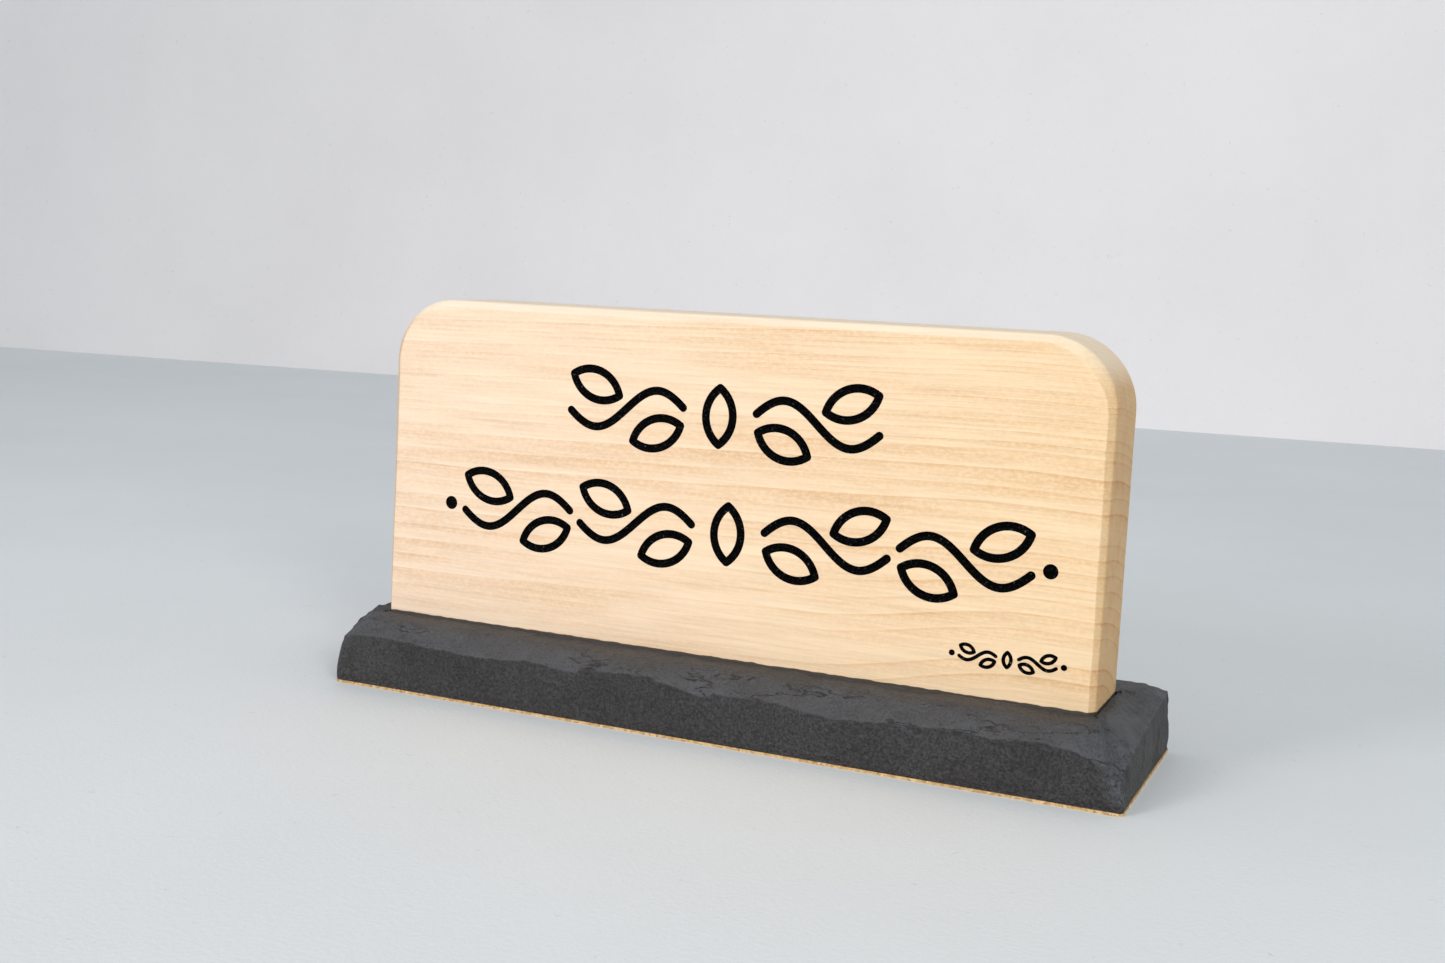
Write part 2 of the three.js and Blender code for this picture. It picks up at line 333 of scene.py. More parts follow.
def groove_edge(point):
    """The nearest point of the groove's edge, which wanders a little."""
    gap = GROOVE_GAP * (1 + 1.1 * rough(point, 12 * MM, 5) + 0.3 * rough(point, 2.5 * MM, 6))
    return Vector((
        min(max(point.x, board_low.x - gap), board_high.x + gap),
        min(max(point.y, board_low.y - gap), board_high.y + gap),
        0,
    ))


def ring_position(point, ring):
    """Where the vertex at this outline point goes on each ring, from the foot to the groove."""
    jog = 1.6 * MM * rough(point, 9 * MM, 1) + 0.7 * MM * rough(point, 3 * MM, 2)
    from_corner = math.hypot(half_x - abs(point.x), half_y - abs(point.y))
    corner = smooth_step(1 - from_corner / CORNER_REACH)
    front_right = corner if point.x > 0 > point.y else 0
    chipping = 0.45 * MM * rough(point, 5 * MM, 3) + 0.40 * MM * rough(point, 2.1 * MM, 8)
    height = wall_height(outline_place(point) + jog) + chipping
    height -= CORNER_DROP * (corner - front_right)
    groove = groove_edge(point)
    inward = groove - point
    reach = inward.length
    inward.normalize()
    lean = LEAN + (LEFT_LEAN - LEAN) * max(0, inward.x) ** 2
    cut = CORNER_CUT * corner + FRONT_RIGHT_CUT * front_right
    full = FOOT_INSET + lean + cut
    if ring <= WALL_RINGS:
        share = ring / WALL_RINGS
        swell = 1 - smooth_step(share / 0.2)
        inset = FOOT_INSET * swell + (lean + cut) * share ** 1.5
        lift = Vector((0, 0, FOOT_HEIGHT + (height - FOOT_HEIGHT) * share))
        return point + inward * inset + lift
    wanted = BROKEN_RUN + 0.75 * (22 * MM - height) + 1.6 * MM * rough(point, 16 * MM, 4)
    run = min(wanted, reach - full - LEAST_FLAT)
    start = full - FOOT_INSET
    if ring <= WALL_RINGS + BREAK_RINGS:
        share = (ring - WALL_RINGS) / BREAK_RINGS
        rise = 1 - (1 - share) ** 1.35
        lift = Vector((0, 0, height + (block_top - height) * rise))
        return point + inward * (start + run * share) + lift
    share = (ring - WALL_RINGS - BREAK_RINGS) / TOP_RINGS
    return (point + inward * (start + run)).lerp(groove, share) + Vector((0, 0, block_top))


def coat_height(point):
    """How far the trowelled coat stands out from the block at a point, in millimetres."""
    swell = 0.50 * rough(point, 36 * MM, 11)
    lumps = 0.26 * rough(point, 10 * MM, 12)
    grit = 0.20 * rough(point, 3.4 * MM, 13) + 0.12 * rough(point, 1.9 * MM, 18)
    skim = rough(point + Vector((0, 0, point.x * 0.15)), 17 * MM, 14)
    flake = 0.34 * smooth_step((skim - 0.08) / 0.05)
    return swell + lumps + grit + flake - 0.15


def keep_inside(vert):
    """Moves a vertex back over the base's outline if it is past it."""
    vert.co.x = min(max(vert.co.x, -half_x), half_x)
    vert.co.y = min(max(vert.co.y, -half_y), half_y)


def ring_of(bm, edges):
    """The edges and vertices of a new ring grown from a ring of edges."""
    grown = bmesh.ops.extrude_edge_only(bm, edges=edges)["geom"]
    ring_edges = [part for part in grown if isinstance(part, bmesh.types.BMEdge)]
    ring_verts = [part for part in grown if isinstance(part, bmesh.types.BMVert)]
    start = {vert for edge in edges for vert in edge.verts}
    return [edge for edge in ring_edges if not start & set(edge.verts)], ring_verts


def cut_to_pitch(bm, pitch):
    """Divides each edge into equal stretches of about the given length."""
    for edge in bm.edges[:]:
        cuts = round(edge.calc_length() / pitch) - 1
        if cuts > 0:
            bmesh.ops.subdivide_edges(bm, edges=[edge], cuts=cuts)


def rounded_outline(bm, half_length, half_width, radius, corners=None, segments=8):
    """A rectangle about the origin with rounded corners, as one face."""
    bmesh.ops.create_grid(bm, x_segments=1, y_segments=1, size=1)
    bmesh.ops.scale(bm, verts=bm.verts, vec=(half_length, half_width, 1))
    rounded = [vert for vert in bm.verts if corners is None or corners(vert.co)]
    bmesh.ops.bevel(
        bm, geom=rounded, affect="VERTICES", offset=radius, offset_type="OFFSET",
        segments=segments, profile=0.5, material=-1,
    )


bm = bmesh.new()
outline = bm.verts.layers.float_vector.new("outline")
rounded_outline(bm, half_x, half_y, FOOT_CORNER)
bmesh.ops.delete(bm, geom=bm.faces[:], context="FACES_ONLY")
cut_to_pitch(bm, PITCH)
for vert in bm.verts:
    vert[outline] = vert.co
    vert.co = ring_position(vert.co.copy(), 0)
ring_edges = bm.edges[:]
for ring in range(1, WALL_RINGS + BREAK_RINGS + TOP_RINGS + 1):
    ring_edges, ring_verts = ring_of(bm, ring_edges)
    for vert in ring_verts:
        vert.co = ring_position(Vector(vert[outline]), ring)
lip = set(ring_verts)
ring_edges, groove_verts = ring_of(bm, ring_edges)
for vert in groove_verts:
    vert.co.z = groove_floor
bmesh.ops.holes_fill(bm, edges=[edge for edge in bm.edges if edge.is_boundary], sides=0)
bmesh.ops.recalc_face_normals(bm, faces=bm.faces)
bm.normal_update()
coats = [
    (vert, vert.normal * coat_height(vert.co) * MM)
    for vert in bm.verts
    if vert.co.z > FOOT_HEIGHT + TINY and len(vert.link_faces) == 4
    and vert not in lip
]
for vert, coat in coats:
    vert.co += coat
    keep_inside(vert)
block = link_mesh("rough_base_block", bm, sharp_degrees=60)


TWICE = (2.0, 2.0, 2.0)
DUST_AND_SHEEN = (0.094, 0.101, 0.116)
SPECK = (0.16, 0.16, 0.165)
CRACK_SHADE = (0.005, 0.005, 0.005)


def anthracite_coat():
    """Matt anthracite mineral coat: cloudy and sandy, with trowel drag, painted shade in pits and
    fine cracks, and dust with painted sky sheen on up-facing faces.
    """
    material, shader, add, coordinates = new_material("anthracite_coat")
    place = coordinates["Object"]
    clouds = grain(add, place, 28.0, detail=5.0, roughness=0.6)
    tone = ramp(add, clouds, [
        (0.30, (0.024, 0.022, 0.023)), (0.55, (0.032, 0.030, 0.031)), (0.75, (0.042, 0.041, 0.042)),
    ])
    up = add("SeparateXYZ", {"Vector": coordinates["Normal"]}).node.outputs["Z"]
    # Dust and painted sky sheen: up-facing faces, the bevel most, go toward a bluish grey that is
    # partly dust and partly the sky's reflection.
    dust_and_sheen = ramp(add, up, [(0.2, 0.0), (0.55, 1.0), (0.85, 0.85), (1.0, 0.35)])
    film = grain(add, place, 55.0, detail=4.0, roughness=0.65)
    dust_and_sheen = calc(add, "MULTIPLY", dust_and_sheen, ramp(add, film, [(0.3, 0.6), (0.6, 1.0)]))
    pitted = grain(add, place, 950.0, detail=3.0, roughness=0.7)
    # Partly blotchy colour, partly painted shade: the hollows of the pitted grit that the bump below
    # uses are darker, and its crests lighter.
    pits = ramp(add, pitted, [(0.38, 0.22), (0.5, 0.5), (0.62, 0.90)])
    dust_and_sheen = calc(add, "MULTIPLY", dust_and_sheen, ramp(add, pitted, [(0.36, 0.62), (0.48, 1.0)]))
    tone = tint(add, tint(add, tone, pits), TWICE)
    tone = mix(add, dust_and_sheen, tone, DUST_AND_SHEEN)
    specks = grain(add, place, 1500.0, detail=2.0, roughness=0.7)
    speck = ramp(add, specks, [(0.64, 0.0), (0.74, 1.0)])
    tone = mix(add, calc(add, "MULTIPLY", speck, 0.35), tone, SPECK)
    bent = grain(add, place, 75.0, detail=4.0, roughness=0.6, squash=(0.35, 1, 1))
    line = calc(add, "ABSOLUTE", calc(add, "SUBTRACT", bent, 0.5))
    crack = ramp(add, line, [(0.0, 1.0), (0.004, 0.9), (0.011, 0.0)])
    where = grain(add, place, 30.0, detail=1.0)
    crack = calc(add, "MULTIPLY", crack, ramp(add, where, [(0.48, 0.0), (0.53, 1.0)]))
    broken = ramp(add, up, [(0.3, 0.0), (0.45, 1.0), (0.85, 1.0), (0.97, 0.0)])
    crack = calc(add, "MULTIPLY", crack, broken)
    # Painted shade: the fine cracks are darkened nearly to black for the shade inside them, and the
    # bump below also dents them in.
    tone = mix(add, calc(add, "MULTIPLY", crack, 0.8), tone, CRACK_SHADE)
    rub = grain(add, place, 90.0, detail=4.0, roughness=0.65)
    gloss = add("MapRange", {"Value": rub, "To Min": 0.42, "To Max": 0.68})
    patches = ramp(add, grain(add, place, 40.0, detail=2.0), [(0.40, 0.45), (0.6, 1.0)])
    drag = grain(add, place, 420.0, detail=4.0, roughness=0.65, squash=(0.5, 1, 1))
    drag = bump(add, calc(add, "MULTIPLY", drag, patches), 0.0022, 1.0)
    grit = bump(add, pitted, 0.0017, 1.0, drag)
    join(shader, Base_Color=tone, Roughness=gloss, Normal=bump(add, crack, -0.0005, 1.0, grit))
    shader.inputs["Specular IOR Level"].default_value = 0.5
    return material


block.data.materials.append(anthracite_coat())
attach(block, "root")
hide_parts("base_block")

# ------------------------------------------------------------------------------------ sole
# A thin sheet of brown cork felt is glued under the whole base. It was cut by hand, so its edge
# wanders and shows as a fuzzy tan line along the foot of the block.

SOLE_PITCH = 0.8 * MM
SOLE_PAST_FOOT = 0.4 * MM
WANDER_SEED = 21
UPPER_FRAY_SEED = 31
LOWER_FRAY_SEED = 21

sole_low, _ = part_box("sole_sheet")
bm = bmesh.new()
past = SOLE_PAST_FOOT - FOOT_INSET
rounded_outline(bm, half_x + past, half_y + past, FOOT_CORNER)
cut_to_pitch(bm, SOLE_PITCH)
sheet = bmesh.ops.extrude_face_region(bm, geom=bm.faces[:])["geom"]
upper = {part for part in sheet if isinstance(part, bmesh.types.BMVert)}
for vert in bm.verts:
    seed = UPPER_FRAY_SEED if vert in upper else LOWER_FRAY_SEED
    outward = -(groove_edge(vert.co) - vert.co).normalized()
    wander = 0.20 * rough(vert.co, 6 * MM, WANDER_SEED) + 0.22 * rough(vert.co, 1.3 * MM, seed)
    vert.co += outward * wander * MM
    keep_inside(vert)
    vert.co.z = FOOT_HEIGHT if vert in upper else sole_low.z
sole = link_mesh("cork_sole", bm, sharp_degrees=40)


def cork_felt():
    """Pressed cork and fibre: golden brown crumbs with lighter and darker bits."""
    material, shader, add, coordinates = new_material("cork_felt")
    crumbs = add("TexVoronoi", {"Vector": coordinates["Object"], "Scale": 900.0}).node.outputs
    colour = ramp(add, crumbs["Color"], [
        (0.0, (0.30, 0.17, 0.07)), (0.45, (0.50, 0.32, 0.14)), (1.0, (0.68, 0.48, 0.25)),
    ])
    fuzz = grain(add, coordinates["Object"], 2400.0)
    crumbly = bump(add, crumbs["Distance"], 0.0003, 0.6)
    join(shader, Base_Color=colour, Normal=bump(add, fuzz, 0.0002, 0.6, crumbly))
    shader.inputs["Roughness"].default_value = 0.92
    return material


sole.data.materials.append(cork_felt())
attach(sole, "root")
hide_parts("sole_sheet")

# ------------------------------------------------------------------------------------ screws
# Two zinc-plated countersunk wood screws come up through the block into the board. Their heads
# sit in counterbores that the sole covers.

BORE_CLEARANCE = 0.3 * MM
BORE_SIDES = 32
SCREW_NAMES = ("board_screw_left", "board_screw_right")


def zinc_steel():
    """Zinc plate: bluish, finely brushed round, with slightly dulled patches."""
    material, shader, add, coordinates = new_material("zinc_steel")
    haze = grain(add, coordinates["Object"], 300.0, detail=4.0)
    colour = ramp(add, haze, [(0.3, (0.52, 0.54, 0.57)), (0.7, (0.70, 0.71, 0.72))])
    dull = add("MapRange", {"Value": haze, "To Min": 0.25, "To Max": 0.45})
    turned = grain(add, coordinates["Object"], 2500.0, detail=2.0, squash=(1, 1, 0.2))
    join(shader, Base_Color=colour, Roughness=dull, Normal=bump(add, turned, 0.00005, 0.4))
    shader.inputs["Metallic"].default_value = 1.0
    return material


zinc = zinc_steel()
for name in SCREW_NAMES:
    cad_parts[name].data.materials.clear()
    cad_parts[name].data.materials.append(zinc)


def screw_bores():
    """The counterbores and pilot holes for both screws, as one cutting shape."""
    bm = bmesh.new()
    for name in SCREW_NAMES:
        low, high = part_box(name)
        head = (high.x - low.x) / 2 + BORE_CLEARANCE
        shank = head / 2
        profile = [
            (0, FOOT_HEIGHT - MM), (head, FOOT_HEIGHT - MM), (head, low.z), (shank, low.z + shank),
            (shank, high.z + BORE_CLEARANCE), (0, high.z + BORE_CLEARANCE),
        ]
        centre = Vector(((low.x + high.x) / 2, (low.y + high.y) / 2, 0))
        verts = [bm.verts.new(centre + Vector((radius, 0, z))) for radius, z in profile]
        edges = [bm.edges.new(pair) for pair in zip(verts, verts[1:])]
        bmesh.ops.spin(
            bm, geom=verts + edges, cent=centre, axis=(0, 0, 1), angle=2 * math.pi,
            steps=BORE_SIDES, use_merge=True,
        )
    bmesh.ops.remove_doubles(bm, verts=bm.verts, dist=TINY)
    return link_mesh("screw_bores", bm)


def carve(piece, cutter):
    """Cuts one shape out of a piece for good."""
    cut = piece.modifiers.new("cut", "BOOLEAN")
    cut.object = cutter
    cut.operation = "DIFFERENCE"
    cut.solver = "EXACT"
    evaluated = piece.evaluated_get(bpy.context.evaluated_depsgraph_get())
    carved = bpy.data.meshes.new_from_object(evaluated)
    piece.modifiers.clear()
    piece.data = carved


bores = screw_bores()
carve(block, bores)

# ------------------------------------------------------------------------------------ board
# One piece of pale softwood, planed to 40 by 140 mm, with its top corners sawn round and its edges
# chamfered and sanded by hand, more at the top. It is glued and screwed in the groove, and a thin
# ragged line of painted shade darkens its foot where it sits in the base.

BOARD_CORNER = 27 * MM
CORNER_SIDES = 28
CHAMFER_TOP = 3.0 * MM
CHAMFER_LEFT_FOOT = 1.0 * MM
CHAMFER_RIGHT_FOOT = 2.6 * MM
CORNER_EXTRA = 0.35  # more sanded away at the right-hand corner
EXTRA_REACH = 24 * MM
SANDING = 0.10  # how much the chamfer's width wanders
EDGE_PITCH = 5 * MM
BOARD_SHARP = math.radians(50)
# The chamfer's section as (inset, depth) shares of its width, with its arrises sanded over, the one
# on the edge a little more than the one on the face.
SECTION = [
    (1.18, 0.0), (1.0, 0.05), (0.84, 0.16), (0.24, 0.74), (0.12, 0.89), (0.04, 1.05), (0.0, 1.24),
]

board_middle = (board_low + board_high) / 2
board_half = (board_high - board_low) / 2


def chamfer_width(point):
    """The chamfer's width at a point of the outline about the board's middle."""
    rightward = 0.5 + point.x / (2 * board_half.x)
    upward = 0.5 + point.y / (2 * board_half.z)
    foot = CHAMFER_LEFT_FOOT + (CHAMFER_RIGHT_FOOT - CHAMFER_LEFT_FOOT) * rightward
    width = foot + (CHAMFER_TOP - foot) * smooth_step(upward * 1.3)
    corner = Vector((board_half.x - BOARD_CORNER * 0.3, board_half.z - BOARD_CORNER * 0.3, 0))
    width *= 1 + CORNER_EXTRA * smooth_step(1 - (point - corner).length / EXTRA_REACH)
    wander = 1 + SANDING * rough(point, 22 * MM, 41) + 0.5 * SANDING * rough(point, 6 * MM, 42)
    return width * wander


def outline_inward(point):
    """The direction from the board's outline into it: none along the foot."""
    if point.y <= -board_half.z + TINY and abs(point.x) < board_half.x - TINY:
        return Vector((0, 0, 0))
    centre = Vector((
        min(max(point.x, BOARD_CORNER - board_half.x), board_half.x - BOARD_CORNER),
        min(point.y, board_half.z - BOARD_CORNER),
        0,
    ))
    return (centre - point).normalized()


def board_position(point, inset, depth):
    """A point of the board's surface from its outline point, its inset and its depth."""
    moved = point + outline_inward(point) * inset * chamfer_width(point)
    return Vector((board_middle.x + moved.x, depth, board_middle.z + moved.y))


bm = bmesh.new()
outline = bm.verts.layers.float_vector.new("outline")
rounded_outline(
    bm, board_half.x, board_half.z, BOARD_CORNER,
    corners=lambda place: place.y > 0, segments=CORNER_SIDES,
)
bmesh.ops.delete(bm, geom=bm.faces[:], context="FACES_ONLY")
cut_to_pitch(bm, EDGE_PITCH)
ring_edges = bm.edges[:]
ring_verts = bm.verts[:]
for vert in ring_verts:
    vert[outline] = vert.co
front = [(inset, depth, 0) for inset, depth in SECTION]
behind = [(inset, depth, 1) for inset, depth in reversed(SECTION)]
for number, (inset, depth, is_back) in enumerate(front + behind):
    if number > 0:
        ring_edges, ring_verts = ring_of(bm, ring_edges)
    for vert in ring_verts:
        point = Vector(vert[outline])
        deep = depth * chamfer_width(point)
        y = board_high.y - deep if is_back else board_low.y + deep
        vert.co = board_position(point, inset, y)
bmesh.ops.holes_fill(bm, edges=[edge for edge in bm.edges if edge.is_boundary], sides=0)
board = link_mesh("timber_board", bm)

# The front is routed with a round cutter in three rows of a leaf scroll, each stroke a blind
# pocket with a slightly eased lip.

POCKET = 2.5 * MM
LIP = 0.12  # millimetres
ARC_STEP = 0.12  # radians
LEAF_TILT = 0.35
WAVE_STEPS = 40
CAP_STEPS = 10
# Sizes in millimetres. A stem is one full wave, and the gap is between the two innermost stems.
SCROLL_ROWS = {
    "upper_row": dict(
        x=0, z=121.5, stroke=3.2, stems=1, stem_length=54, rise=8, gap=26,
        leaf_length=25, leaf_width=14.5, leaf_offset=8.6, berries=False,
    ),
    "lower_row": dict(
        x=5.5, z=76.5, stroke=3.2, stems=2, stem_length=54, rise=8, gap=26,
        leaf_length=25, leaf_width=14.5, leaf_offset=8.6, berries=True,
    ),
    "small_row": dict(
        x=117.5, z=42.7, stroke=1.3, stems=1, stem_length=15.5, rise=1.9, gap=6.5,
        leaf_length=6.8, leaf_width=4.1, leaf_offset=2.2, berries=True,
    ),
}


def arc(centre, radius, start, end):
    """Points along an arc in the plane of the face, both ends included."""
    count = max(3, math.ceil(abs(end - start) / ARC_STEP))
    angles = [start + (end - start) * i / count for i in range(count + 1)]
    return [Vector((centre[0] + radius * math.cos(a), centre[1] + radius * math.sin(a)))
            for a in angles]


def leaf_outline(length, width, half):
    """The outer and inner outline that a cutter leaves on going once round an almond leaf."""
    tip = length / 2 - half
    side = width / 2 - half
    drop = (tip * tip - side * side) / (2 * side)
    radius = side + drop
    lean = math.atan2(drop, tip)
    outer = (
        arc((0, -drop), radius + half, lean, math.pi - lean)
        + arc((-tip, 0), half, math.pi - lean, math.pi + lean)[1:-1]
        + arc((0, drop), radius + half, math.pi + lean, 2 * math.pi - lean)
        + arc((tip, 0), half, -lean, lean)[1:-1]
    )
    inner_radius = radius - half
    inner_tip = math.sqrt(inner_radius ** 2 - drop ** 2)
    lean = math.atan2(drop, inner_tip)
    inner = (
        arc((0, -drop), inner_radius, lean, math.pi - lean)
        + arc((0, drop), inner_radius, math.pi + lean, 2 * math.pi - lean)[1:-1]
    )
    return [outer, inner]


def stem_outline(length, rise, end, half):
    """The outline of one full wave of stem, with round ends."""

    def beside(x, turn):
        phase = 2 * math.pi * x / length
        angle = math.atan(2 * math.pi * rise * math.cos(phase) / length) + turn
        return Vector((x + half * math.cos(angle), rise * math.sin(phase) + half * math.sin(angle)))

    places = [end + (length - 2 * end) * i / WAVE_STEPS for i in range(WAVE_STEPS + 1)]
    caps = [math.pi * i / CAP_STEPS for i in range(1, CAP_STEPS)]
    quarter = math.pi / 2
    return [
        [beside(x, -quarter) for x in places]
        + [beside(length - end, turn - quarter) for turn in caps]
        + [beside(x, quarter) for x in reversed(places)]
        + [beside(end, turn + quarter) for turn in caps]
    ]


def row_strokes(name, row):
    """(name, outlines for a growth of the cutter, x, z, turn) of each stroke, in millimetres."""
    half = row["stroke"] / 2
    reach = row["gap"] / 2 + row["stems"] * row["stem_length"] + 1.4 * row["stroke"]

    def leaf(growth):
        return leaf_outline(
            row["leaf_length"] + 2 * growth, row["leaf_width"] + 2 * growth, half + growth)

    def berry(growth):
        return [arc((0, 0), row["stroke"] * 0.85 + growth, 0, 2 * math.pi)[:-1]]

    def stem(rise):
        return lambda growth: stem_outline(
            row["stem_length"], rise, 0.75 * row["stroke"], half + growth)

    strokes = [("leaf", leaf, 0, 0, math.pi / 2)]
    for side in (-1, 1):
        for i in range(row["stems"]):
            start = row["gap"] / 2 + i * row["stem_length"]
            left = -start - row["stem_length"] if side < 0 else start
            strokes.append(("stem", stem(side * row["rise"]), left, 0, 0))
            for along_stem, above in ((0.25, -1), (0.75, 1)):
                x = side * (start + along_stem * row["stem_length"])
                turn = side * above * LEAF_TILT
                strokes.append(("leaf", leaf, x, above * row["leaf_offset"], turn))
        if row["berries"]:
            strokes.append(("berry", berry, side * reach, 0, 0))
    middle = board_middle.x / MM + row["x"]
    counts = {"leaf": 0, "stem": 0, "berry": 0}
    placed = []
    for kind, outlines, x, z, turn in strokes:
        counts[kind] += 1
        full_name = f"{name}_{kind}_{counts[kind]}"
        placed.append((full_name, outlines, middle + x, row["z"] + z, turn))
    return placed


def routed_body(bm, stroke, levels):
    """A closed body with vertical sides through (growth in mm, depth in m) levels."""
    _, outlines, x, z, turn = stroke
    place = Matrix.Translation((x * MM, board_low.y, z * MM))
    place = place @ Matrix.Rotation(math.pi / 2, 4, "X") @ Matrix.Rotation(turn, 4, "Z")
    stack = []
    for growth, depth in levels:
        loops = []
        for points in outlines(growth):
            verts = [bm.verts.new(place @ Vector((*(p * MM), -depth))) for p in points]
            loops.append([bm.edges.new(pair) for pair in zip(verts, verts[1:] + verts[:1])])
        stack.append(loops)
    for low, high in zip(stack, stack[1:]):
        for low_loop, high_loop in zip(low, high):
            bmesh.ops.bridge_loops(bm, edges=low_loop + high_loop)
    for loops in (stack[0], stack[-1]):
        edges = [edge for loop in loops for edge in loop]
        if len(loops) == 1:
            bmesh.ops.contextual_create(bm, geom=edges)
        else:
            bmesh.ops.triangle_fill(bm, edges=edges, use_beauty=True)


strokes = [stroke for name, row in SCROLL_ROWS.items() for stroke in row_strokes(name, row)]
bm = bmesh.new()
for stroke in strokes:
    routed_body(bm, stroke, [
        (0, POCKET), (0, LIP * MM), (LIP * 0.6, 0.02 * MM), (LIP, 0), (LIP, -MM),
    ])
pockets = link_mesh("pockets", bm)
carve(board, bores)
carve(board, pockets)
for cutter in (bores, pockets):
    bpy.data.objects.remove(cutter)
board.data.shade_smooth()
board.data.set_sharp_from_angle(angle=BOARD_SHARP)
weigh = board.modifiers.new("flat_faces", "WEIGHTED_NORMAL")
weigh.keep_sharp = True

RING = 0.0065  # metres of wood in a year's growth near the heart
OUTER_RING = 0.0019  # and in the later, slower years
SLOW_FROM = 0.112  # height at which the slow years start
HEART = (-0.024, -0.025)  # depth and height of the tree's heart, in front of and below the board
PALE_WOOD = (0.84, 0.69, 0.51)
TAN_WOOD = (0.69, 0.475, 0.28)
LATE_WOOD = (0.60, 0.33, 0.13)
LEFT_LIGHT_TINT = (0.98, 0.955, 0.99)
RIGHT_LIGHT_TINT = (0.965, 0.905, 0.785)
END_CAST = (0.70, 0.60, 0.46)
PALE_CREAM = (0.90, 0.83, 0.70)
JOINT_SHADE_COLOUR = (0.012, 0.011, 0.011)


def pale_timber():
    """Softwood sawn through the rings: wide rings low, narrow ones high, darker end grain."""
    material, shader, add, coordinates = new_material("pale_timber")
    place = coordinates["Object"]
    x, y, z = add("SeparateXYZ", {"Vector": place}).node.outputs
    along = add("MapRange", {"Value": x, "From Min": -0.15, "From Max": 0.15})
    lift = ramp(add, along, [(0, 0.0), (0.48, 0.48), (0.72, 0.73), (0.88, 1.0), (1, 0.78)],
                "B_SPLINE")
    fan = ramp(add, along, [(0.62, 0.0), (0.93, 1.0)], "EASE")
    low_down = calc(add, "MAXIMUM", calc(add, "SUBTRACT", 0.105, z))
    fan = calc(add, "MULTIPLY", calc(add, "MULTIPLY", fan, 0.17), low_down)
    lifted = calc(add, "ADD", calc(add, "MULTIPLY", lift, 0.0083), fan)
    height = calc(add, "SUBTRACT", calc(add, "SUBTRACT", z, lifted), HEART[1])
    depth = calc(add, "SUBTRACT", y, HEART[0])
    radius = calc(add, "SQRT", calc(
        add, "ADD", calc(add, "POWER", height, 2.0), calc(add, "POWER", depth, 2.0)))
    sway = grain(add, place, 11.0, detail=2.0, squash=(0.3, 1, 1))
    waver = grain(add, place, 60.0, detail=3.0, squash=(0.22, 1, 1))
    grown = calc(add, "ADD", radius, calc(add, "MULTIPLY", sway, 0.006))
    grown = calc(add, "ADD", grown, calc(add, "MULTIPLY", waver, 0.0014))
    grown = calc(add, "ADD", grown, HEART[1] - 0.0037)
    slow = calc(add, "MAXIMUM", calc(add, "SUBTRACT", grown, SLOW_FROM))
    years = calc(
        add, "ADD", calc(add, "DIVIDE", grown, RING),
        calc(add, "MULTIPLY", slow, 1 / OUTER_RING - 1 / RING))
    season = calc(add, "FRACT", years)
    luck = add("TexWhiteNoise", {"W": calc(add, "FLOOR", years)}, noise_dimensions="1D")
    luck = add("MapRange", {"Value": luck, "To Min": 0.15, "To Max": 0.82})
    narrow = ramp(add, add("MapRange", {
        "Value": grown, "From Min": SLOW_FROM - 0.004, "From Max": SLOW_FROM + 0.006,
    }), [(0, 1.0), (1, 0.85)])
    strength = calc(add, "MULTIPLY", luck, narrow)

    zones = grain(add, place, 17.0, detail=3.0, roughness=0.55, squash=(0.3, 1, 1.3))
    streaks = grain(add, place, 150.0, detail=3.0, roughness=0.6, squash=(0.07, 1, 1))
    tan = ramp(add, season, [(0.0, 0.0), (0.07, 0.12), (0.20, 0.40), (0.80, 0.85), (1.0, 1.0)])
    tan = calc(add, "MULTIPLY", tan, strength)
    tan = calc(add, "MULTIPLY", tan, ramp(add, zones, [(0.36, 0.15), (0.60, 1.0)]))
    tan = calc(add, "ADD", tan, ramp(add, streaks, [(0.40, 0.0), (0.75, 0.55)]))
    stipple = grain(add, place, 1000.0, detail=2.0, roughness=0.6, squash=(0.55, 1, 1))
    stipple = ramp(add, stipple, [(0.35, 0.55), (0.6, 1.15)])
    tan = calc(add, "MULTIPLY", tan, stipple, clamp=True)
    timber = mix(add, tan, PALE_WOOD, TAN_WOOD)
    late = ramp(add, season, [(0.0, 0.75), (0.03, 0.0), (0.80, 0.0), (0.93, 1.0), (1.0, 1.0)])
    late = calc(add, "MULTIPLY", late, strength)
    late = calc(add, "MULTIPLY", late, ramp(add, along, [(0.3, 0.10), (0.75, 0.75)]))
    late = calc(add, "MULTIPLY", late, ramp(add, streaks, [(0.35, 0.35), (0.6, 1.0)]))
    facing = add("SeparateXYZ", {"Vector": coordinates["Normal"]}).node.outputs
    end = calc(add, "ABSOLUTE", facing["X"])
    end = ramp(add, end, [(0.40, 0.0), (0.75, 0.66), (0.95, 1.0)])
    late = calc(add, "ADD", calc(add, "MULTIPLY", late, 0.55), calc(
        add, "MULTIPLY", calc(add, "MULTIPLY", end, 0.6), late), clamp=True)
    timber = mix(add, late, timber, LATE_WOOD)

    # Painted light: the wood goes from pinkish white at the left to golden at the right, for the
    # light of the left and right soft boxes.
    painted_light_tint = mix(add, along, LEFT_LIGHT_TINT, RIGHT_LIGHT_TINT)
    timber = tint(add, timber, painted_light_tint)
    fibre = grain(add, place, 1100.0, detail=3.0, roughness=0.6, squash=(0.03, 1, 1))
    timber = tint(add, timber, ramp(add, fibre, [(0.3, 0.86), (0.62, 1.02)]), factor=0.7)
    timber = mix(add, end, timber, tint(add, timber, END_CAST))
    # Faces that look upward are mixed toward a paler cream.
    up_facing_pale = calc(add, "MULTIPLY", ramp(add, facing["Z"], [(0.3, 0.0), (0.7, 1.0)]), 0.45)
    timber = mix(add, up_facing_pale, timber, PALE_CREAM)
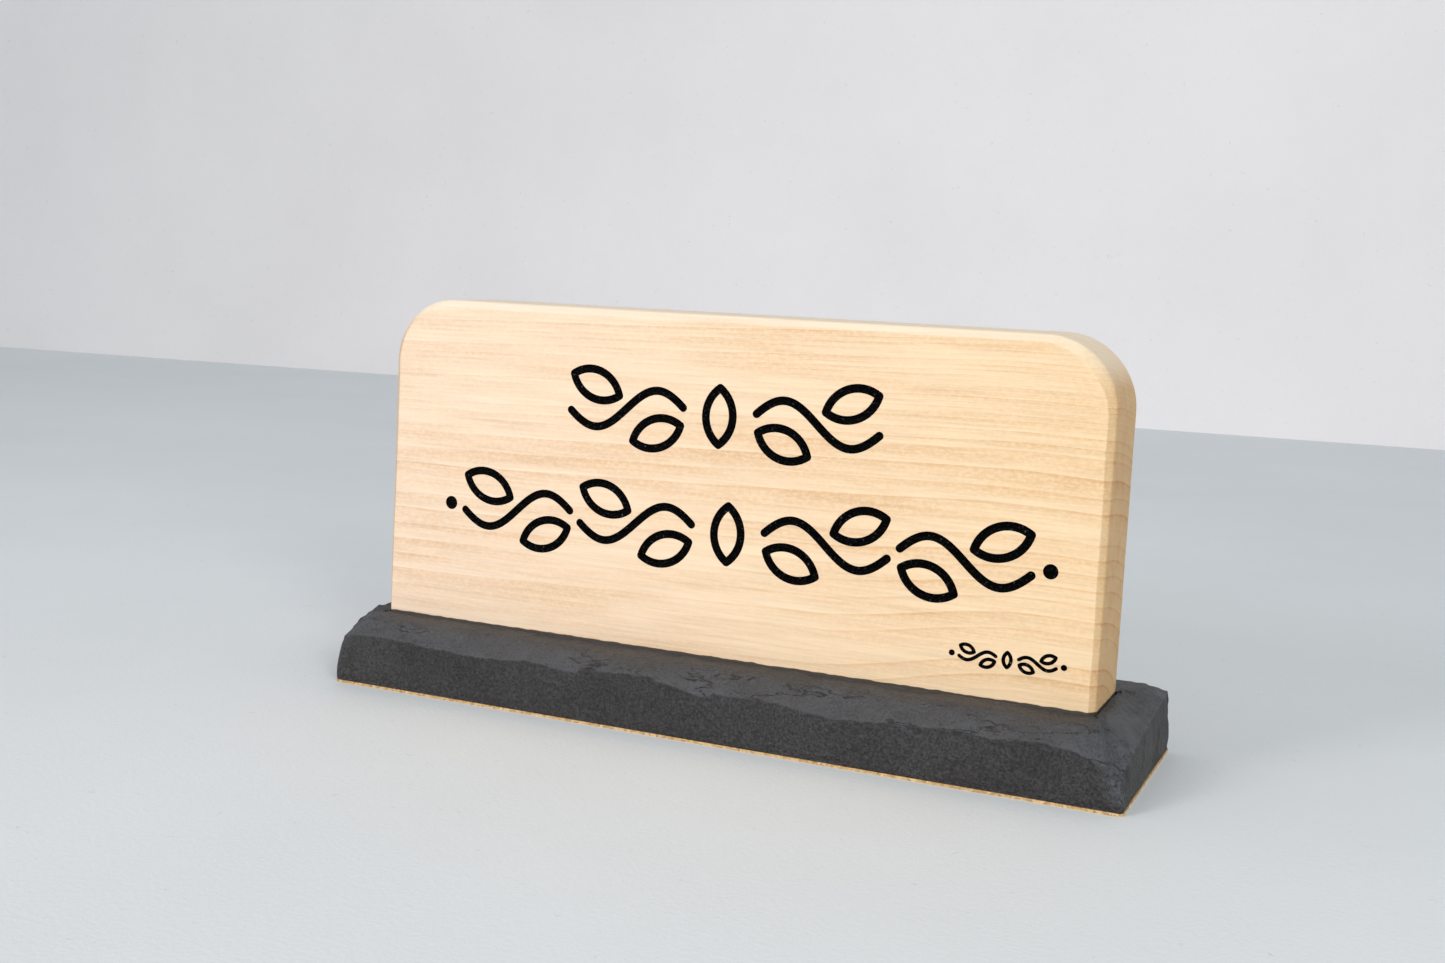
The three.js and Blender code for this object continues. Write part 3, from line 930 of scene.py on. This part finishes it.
    # Painted shade: a thin ragged near-black line just above the base's top darkens the board's
    # foot, for the shade in the joint.
    ragged = grain(add, place, 330.0, detail=3.0, squash=(0.5, 1, 1))
    joint_shade_edge = calc(add, "ADD", z, calc(add, "MULTIPLY", ragged, -0.0012))
    joint_shade = add("MapRange", {
        "Value": joint_shade_edge, "From Min": block_top + 0.0002, "From Max": block_top + 0.0004,
        "To Min": 0.93, "To Max": 0.0,
    })
    timber = mix(add, joint_shade, timber, JOINT_SHADE_COLOUR)

    sheen = add("MapRange", {"Value": fibre, "To Min": 0.46, "To Max": 0.62})
    fibres = bump(add, fibre, 0.00012, 0.35)
    join(shader, Base_Color=timber, Roughness=sheen, Normal=bump(add, stipple, 0.00006, 0.3, fibres))
    shader.inputs["Specular IOR Level"].default_value = 0.35
    return material


board.data.materials.clear()
board.data.materials.append(pale_timber())
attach(board, "root")
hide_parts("board")

# ------------------------------------------------------------------------------------ fill
# Black resin was poured into each routed stroke. It shrank a little as it cured, so each fill
# sits just below the face with its edge drawn up the pocket's wall.

SIDE_GAP = 0.02  # millimetres from the pocket's wall
RECESS = 0.12  # how far the middle sits below the face, as a share of the stroke's width
CREEP = 0.11  # how far in the drawn-up edge starts to level off, as another such share
RESIN_GLINT = (0.055, 0.060, 0.070)


def black_resin():
    """Glossy black resin, with faint ripples and pinholes, and bluish flecks painted in as glints.
    """
    material, shader, add, coordinates = new_material("black_resin")
    place = coordinates["Object"]
    ripple = grain(add, place, 420.0, detail=3.0, roughness=0.6)
    colour = ramp(add, ripple, [(0.3, (0.0002, 0.0002, 0.0003)), (0.7, (0.0009, 0.0008, 0.0008))])
    # Painted glints: sparse bluish flecks in the black colour stand in for small highlights of the
    # lamps and sky.
    painted_glints = grain(add, place, 850.0, detail=3.0, roughness=0.6)
    painted_glints = ramp(add, painted_glints, [(0.63, 0.0), (0.70, 1.0)])
    colour = mix(add, painted_glints, colour, RESIN_GLINT)
    gloss = grain(add, place, 700.0, detail=3.0)
    dull = add("MapRange", {"Value": gloss, "To Min": 0.04, "To Max": 0.22})
    specks = grain(add, place, 1500.0, detail=2.0)
    rippled = bump(add, ripple, 0.0013, 1.0)
    join(shader, Base_Color=colour, Roughness=dull, Normal=bump(add, specks, 0.00012, 0.6, rippled))
    shader.inputs["Specular IOR Level"].default_value = 0.022
    return material


resin = black_resin()
for stroke in strokes:
    row = SCROLL_ROWS[stroke[0].rsplit("_", 2)[0]]
    recess = row["stroke"] * RECESS
    creep = row["stroke"] * CREEP
    bm = bmesh.new()
    routed_body(bm, stroke, [
        (-SIDE_GAP, POCKET - SIDE_GAP * MM),
        (-SIDE_GAP, recess * 0.10 * MM),
        (-SIDE_GAP - creep * 0.35, recess * 0.50 * MM),
        (-SIDE_GAP - creep * 1.1, recess * 0.80 * MM),
        (-SIDE_GAP - creep * 2.4, recess * MM),
    ])
    fill = link_mesh(stroke[0] + "_fill", bm, sharp_degrees=60)
    fill.data.materials.append(resin)
    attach(fill, "root")
    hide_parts(stroke[0])
